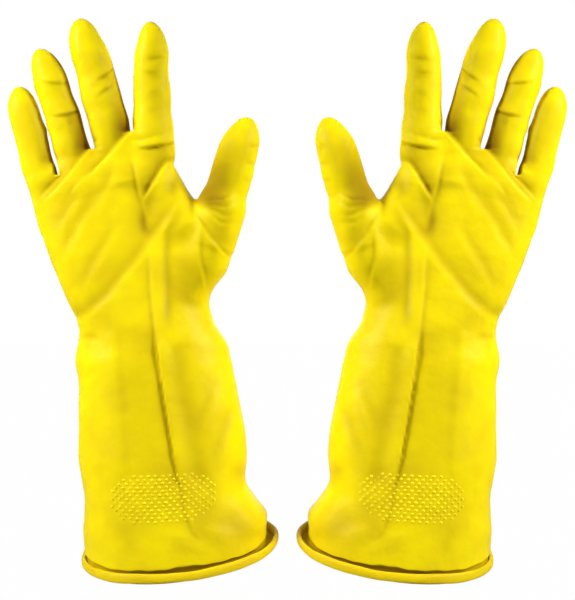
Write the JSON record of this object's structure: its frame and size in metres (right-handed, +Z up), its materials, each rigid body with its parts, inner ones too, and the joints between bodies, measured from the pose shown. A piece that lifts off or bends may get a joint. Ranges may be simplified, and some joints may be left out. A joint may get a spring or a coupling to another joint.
{
  "type": "pair of household rubber gloves",
  "caption": "Pair of long yellow household rubber gloves with a studded grip patch, a rolled bead and a flock-lined cuff, bending at the wrist, thumbs and fingers.",
  "frame": {"origin": "centre of the right-hand glove's cuff opening", "axes": "+Z up towards the fingertips, +X from the right-hand glove to the left-hand glove, +Y to the backs of the hands, so the palms face -Y"},
  "size_m": [0.3072, 0.0796, 0.3064],
  "materials": {
    "glove_rubber": "satin latex, slightly translucent",
    "bead_rubber": "satin latex, thicker and a little darker",
    "stud_rubber": "satin latex",
    "flock_lining": "short cotton flock, matt"
  },
  "bodies": {
    "right_cuff": {"right_cuff": "glove_rubber", "right_cuff_lining": "flock_lining", "right_rolled_bead": "bead_rubber", "right_grip_studs": "stud_rubber"},
    "right_hand": {"right_hand": "glove_rubber"},
    "right_index_base": {"right_index_base": "glove_rubber"},
    "right_index_middle": {"right_index_middle": "glove_rubber"},
    "right_index_tip": {"right_index_tip": "glove_rubber"},
    "right_middle_base": {"right_middle_base": "glove_rubber"},
    "right_middle_middle": {"right_middle_middle": "glove_rubber"},
    "right_middle_tip": {"right_middle_tip": "glove_rubber"},
    "right_ring_base": {"right_ring_base": "glove_rubber"},
    "right_ring_middle": {"right_ring_middle": "glove_rubber"},
    "right_ring_tip": {"right_ring_tip": "glove_rubber"},
    "right_little_base": {"right_little_base": "glove_rubber"},
    "right_little_middle": {"right_little_middle": "glove_rubber"},
    "right_little_tip": {"right_little_tip": "glove_rubber"},
    "right_thumb_base": {"right_thumb_base": "glove_rubber"},
    "right_thumb_tip": {"right_thumb_tip": "glove_rubber"},
    "left_cuff": {"left_cuff": "glove_rubber", "left_cuff_lining": "flock_lining", "left_rolled_bead": "bead_rubber", "left_grip_studs": "stud_rubber"},
    "left_hand": {"left_hand": "glove_rubber"},
    "left_index_base": {"left_index_base": "glove_rubber"},
    "left_index_middle": {"left_index_middle": "glove_rubber"},
    "left_index_tip": {"left_index_tip": "glove_rubber"},
    "left_middle_base": {"left_middle_base": "glove_rubber"},
    "left_middle_middle": {"left_middle_middle": "glove_rubber"},
    "left_middle_tip": {"left_middle_tip": "glove_rubber"},
    "left_ring_base": {"left_ring_base": "glove_rubber"},
    "left_ring_middle": {"left_ring_middle": "glove_rubber"},
    "left_ring_tip": {"left_ring_tip": "glove_rubber"},
    "left_little_base": {"left_little_base": "glove_rubber"},
    "left_little_middle": {"left_little_middle": "glove_rubber"},
    "left_little_tip": {"left_little_tip": "glove_rubber"},
    "left_thumb_base": {"left_thumb_base": "glove_rubber"},
    "left_thumb_tip": {"left_thumb_tip": "glove_rubber"}
  },
  "joints": [
    {"name": "pair_slide", "type": "slide", "parent": "right_cuff", "child": "left_cuff", "axis": [1, 0, 0], "range_m": [0, 0.15]},
    {"name": "right_wrist_flex", "type": "hinge", "parent": "right_cuff", "child": "right_hand", "pos_m": [-0.0182, -0.0225, 0.124], "axis": [1, 0, 0], "range_deg": [0, 45], "stiffness_Nm_per_rad": 0.12},
    {"name": "right_index_base_flex", "type": "hinge", "parent": "right_hand", "child": "right_index_base", "pos_m": [-0.0155, -0.008, 0.2266], "axis": [1, 0, 0.0052], "range_deg": [0, 70], "stiffness_Nm_per_rad": 0.006},
    {"name": "right_index_middle_flex", "type": "hinge", "parent": "right_index_base", "child": "right_index_middle", "pos_m": [-0.01577, -0.0074, 0.2486], "axis": [1, 0, 0.0052], "range_deg": [0, 85], "stiffness_Nm_per_rad": 0.006},
    {"name": "right_index_tip_flex", "type": "hinge", "parent": "right_index_middle", "child": "right_index_tip", "pos_m": [-0.016, -0.0064, 0.2676], "axis": [1, 0, 0.0052], "range_deg": [0, 57], "stiffness_Nm_per_rad": 0.006},
    {"name": "right_middle_base_flex", "type": "hinge", "parent": "right_hand", "child": "right_middle_base", "pos_m": [-0.0382, -0.008, 0.2266], "axis": [0.9914, 0, 0.1305], "range_deg": [0, 70], "stiffness_Nm_per_rad": 0.006},
    {"name": "right_middle_middle_flex", "type": "hinge", "parent": "right_middle_base", "child": "right_middle_middle", "pos_m": [-0.04449, -0.0079, 0.24976], "axis": [0.9914, 0, 0.1305], "range_deg": [0, 85], "stiffness_Nm_per_rad": 0.006},
    {"name": "right_middle_tip_flex", "type": "hinge", "parent": "right_middle_middle", "child": "right_middle_tip", "pos_m": [-0.05, -0.0073, 0.27003], "axis": [0.9914, 0, 0.1305], "range_deg": [0, 57], "stiffness_Nm_per_rad": 0.006},
    {"name": "right_ring_base_flex", "type": "hinge", "parent": "right_hand", "child": "right_ring_base", "pos_m": [-0.0592, -0.0069, 0.2184], "axis": [0.9914, 0, 0.1305], "range_deg": [0, 70], "stiffness_Nm_per_rad": 0.006},
    {"name": "right_ring_middle_flex", "type": "hinge", "parent": "right_ring_base", "child": "right_ring_middle", "pos_m": [-0.06541, -0.0067, 0.23846], "axis": [0.9914, 0, 0.1305], "range_deg": [0, 85], "stiffness_Nm_per_rad": 0.006},
    {"name": "right_ring_tip_flex", "type": "hinge", "parent": "right_ring_middle", "child": "right_ring_tip", "pos_m": [-0.07073, -0.0064, 0.25566], "axis": [0.9914, 0, 0.1305], "range_deg": [0, 57], "stiffness_Nm_per_rad": 0.006},
    {"name": "right_little_base_flex", "type": "hinge", "parent": "right_hand", "child": "right_little_base", "pos_m": [-0.0778, -0.006, 0.2085], "axis": [0.9976, 0, 0.0698], "range_deg": [0, 70], "stiffness_Nm_per_rad": 0.006},
    {"name": "right_little_middle_flex", "type": "hinge", "parent": "right_little_base", "child": "right_little_middle", "pos_m": [-0.08173, -0.006, 0.22401], "axis": [0.9976, 0, 0.0698], "range_deg": [0, 85], "stiffness_Nm_per_rad": 0.006},
    {"name": "right_little_tip_flex", "type": "hinge", "parent": "right_little_middle", "child": "right_little_tip", "pos_m": [-0.08516, -0.0059, 0.23758], "axis": [0.9976, 0, 0.0698], "range_deg": [0, 57], "stiffness_Nm_per_rad": 0.006},
    {"name": "right_thumb_base_flex", "type": "hinge", "parent": "right_hand", "child": "right_thumb_base", "pos_m": [0.01954, -0.01565, 0.19121], "axis": [0.9005, -0.342, -0.2685], "range_deg": [0, 45], "stiffness_Nm_per_rad": 0.006},
    {"name": "right_thumb_tip_flex", "type": "hinge", "parent": "right_thumb_base", "child": "right_thumb_tip", "pos_m": [0.02659, -0.01509, 0.21415], "axis": [0.9005, -0.342, -0.2685], "range_deg": [0, 60], "stiffness_Nm_per_rad": 0.006},
    {"name": "left_wrist_flex", "type": "hinge", "parent": "left_cuff", "child": "left_hand", "pos_m": [0.1362, -0.0225, 0.124], "axis": [1, 0, 0], "range_deg": [0, 45], "stiffness_Nm_per_rad": 0.12},
    {"name": "left_index_base_flex", "type": "hinge", "parent": "left_hand", "child": "left_index_base", "pos_m": [0.1335, -0.008, 0.2266], "axis": [1, 0, -0.0052], "range_deg": [0, 70], "stiffness_Nm_per_rad": 0.006},
    {"name": "left_index_middle_flex", "type": "hinge", "parent": "left_index_base", "child": "left_index_middle", "pos_m": [0.13377, -0.0074, 0.2486], "axis": [1, 0, -0.0052], "range_deg": [0, 85], "stiffness_Nm_per_rad": 0.006},
    {"name": "left_index_tip_flex", "type": "hinge", "parent": "left_index_middle", "child": "left_index_tip", "pos_m": [0.134, -0.0064, 0.2676], "axis": [1, 0, -0.0052], "range_deg": [0, 57], "stiffness_Nm_per_rad": 0.006},
    {"name": "left_middle_base_flex", "type": "hinge", "parent": "left_hand", "child": "left_middle_base", "pos_m": [0.1562, -0.008, 0.2266], "axis": [0.9914, 0, -0.1305], "range_deg": [0, 70], "stiffness_Nm_per_rad": 0.006},
    {"name": "left_middle_middle_flex", "type": "hinge", "parent": "left_middle_base", "child": "left_middle_middle", "pos_m": [0.16249, -0.0079, 0.24976], "axis": [0.9914, 0, -0.1305], "range_deg": [0, 85], "stiffness_Nm_per_rad": 0.006},
    {"name": "left_middle_tip_flex", "type": "hinge", "parent": "left_middle_middle", "child": "left_middle_tip", "pos_m": [0.168, -0.0073, 0.27003], "axis": [0.9914, 0, -0.1305], "range_deg": [0, 57], "stiffness_Nm_per_rad": 0.006},
    {"name": "left_ring_base_flex", "type": "hinge", "parent": "left_hand", "child": "left_ring_base", "pos_m": [0.1772, -0.0069, 0.2184], "axis": [0.9914, 0, -0.1305], "range_deg": [0, 70], "stiffness_Nm_per_rad": 0.006},
    {"name": "left_ring_middle_flex", "type": "hinge", "parent": "left_ring_base", "child": "left_ring_middle", "pos_m": [0.18341, -0.0067, 0.23846], "axis": [0.9914, 0, -0.1305], "range_deg": [0, 85], "stiffness_Nm_per_rad": 0.006},
    {"name": "left_ring_tip_flex", "type": "hinge", "parent": "left_ring_middle", "child": "left_ring_tip", "pos_m": [0.18873, -0.0064, 0.25566], "axis": [0.9914, 0, -0.1305], "range_deg": [0, 57], "stiffness_Nm_per_rad": 0.006},
    {"name": "left_little_base_flex", "type": "hinge", "parent": "left_hand", "child": "left_little_base", "pos_m": [0.1958, -0.006, 0.2085], "axis": [0.9976, 0, -0.0698], "range_deg": [0, 70], "stiffness_Nm_per_rad": 0.006},
    {"name": "left_little_middle_flex", "type": "hinge", "parent": "left_little_base", "child": "left_little_middle", "pos_m": [0.19973, -0.006, 0.22401], "axis": [0.9976, 0, -0.0698], "range_deg": [0, 85], "stiffness_Nm_per_rad": 0.006},
    {"name": "left_little_tip_flex", "type": "hinge", "parent": "left_little_middle", "child": "left_little_tip", "pos_m": [0.20316, -0.0059, 0.23758], "axis": [0.9976, 0, -0.0698], "range_deg": [0, 57], "stiffness_Nm_per_rad": 0.006},
    {"name": "left_thumb_base_flex", "type": "hinge", "parent": "left_hand", "child": "left_thumb_base", "pos_m": [0.09846, -0.01565, 0.19121], "axis": [0.9005, 0.342, 0.2685], "range_deg": [0, 45], "stiffness_Nm_per_rad": 0.006},
    {"name": "left_thumb_tip_flex", "type": "hinge", "parent": "left_thumb_base", "child": "left_thumb_tip", "pos_m": [0.09141, -0.01509, 0.21415], "axis": [0.9005, 0.342, 0.2685], "range_deg": [0, 60], "stiffness_Nm_per_rad": 0.006}
  ],
  "couplings": [
    {"joint": "right_index_tip_flex", "follows": "right_index_middle_flex", "ratio": 0.67},
    {"joint": "right_middle_tip_flex", "follows": "right_middle_middle_flex", "ratio": 0.67},
    {"joint": "right_ring_tip_flex", "follows": "right_ring_middle_flex", "ratio": 0.67},
    {"joint": "right_little_tip_flex", "follows": "right_little_middle_flex", "ratio": 0.67},
    {"joint": "left_index_tip_flex", "follows": "left_index_middle_flex", "ratio": 0.67},
    {"joint": "left_middle_tip_flex", "follows": "left_middle_middle_flex", "ratio": 0.67},
    {"joint": "left_ring_tip_flex", "follows": "left_ring_middle_flex", "ratio": 0.67},
    {"joint": "left_little_tip_flex", "follows": "left_little_middle_flex", "ratio": 0.67}
  ]
}
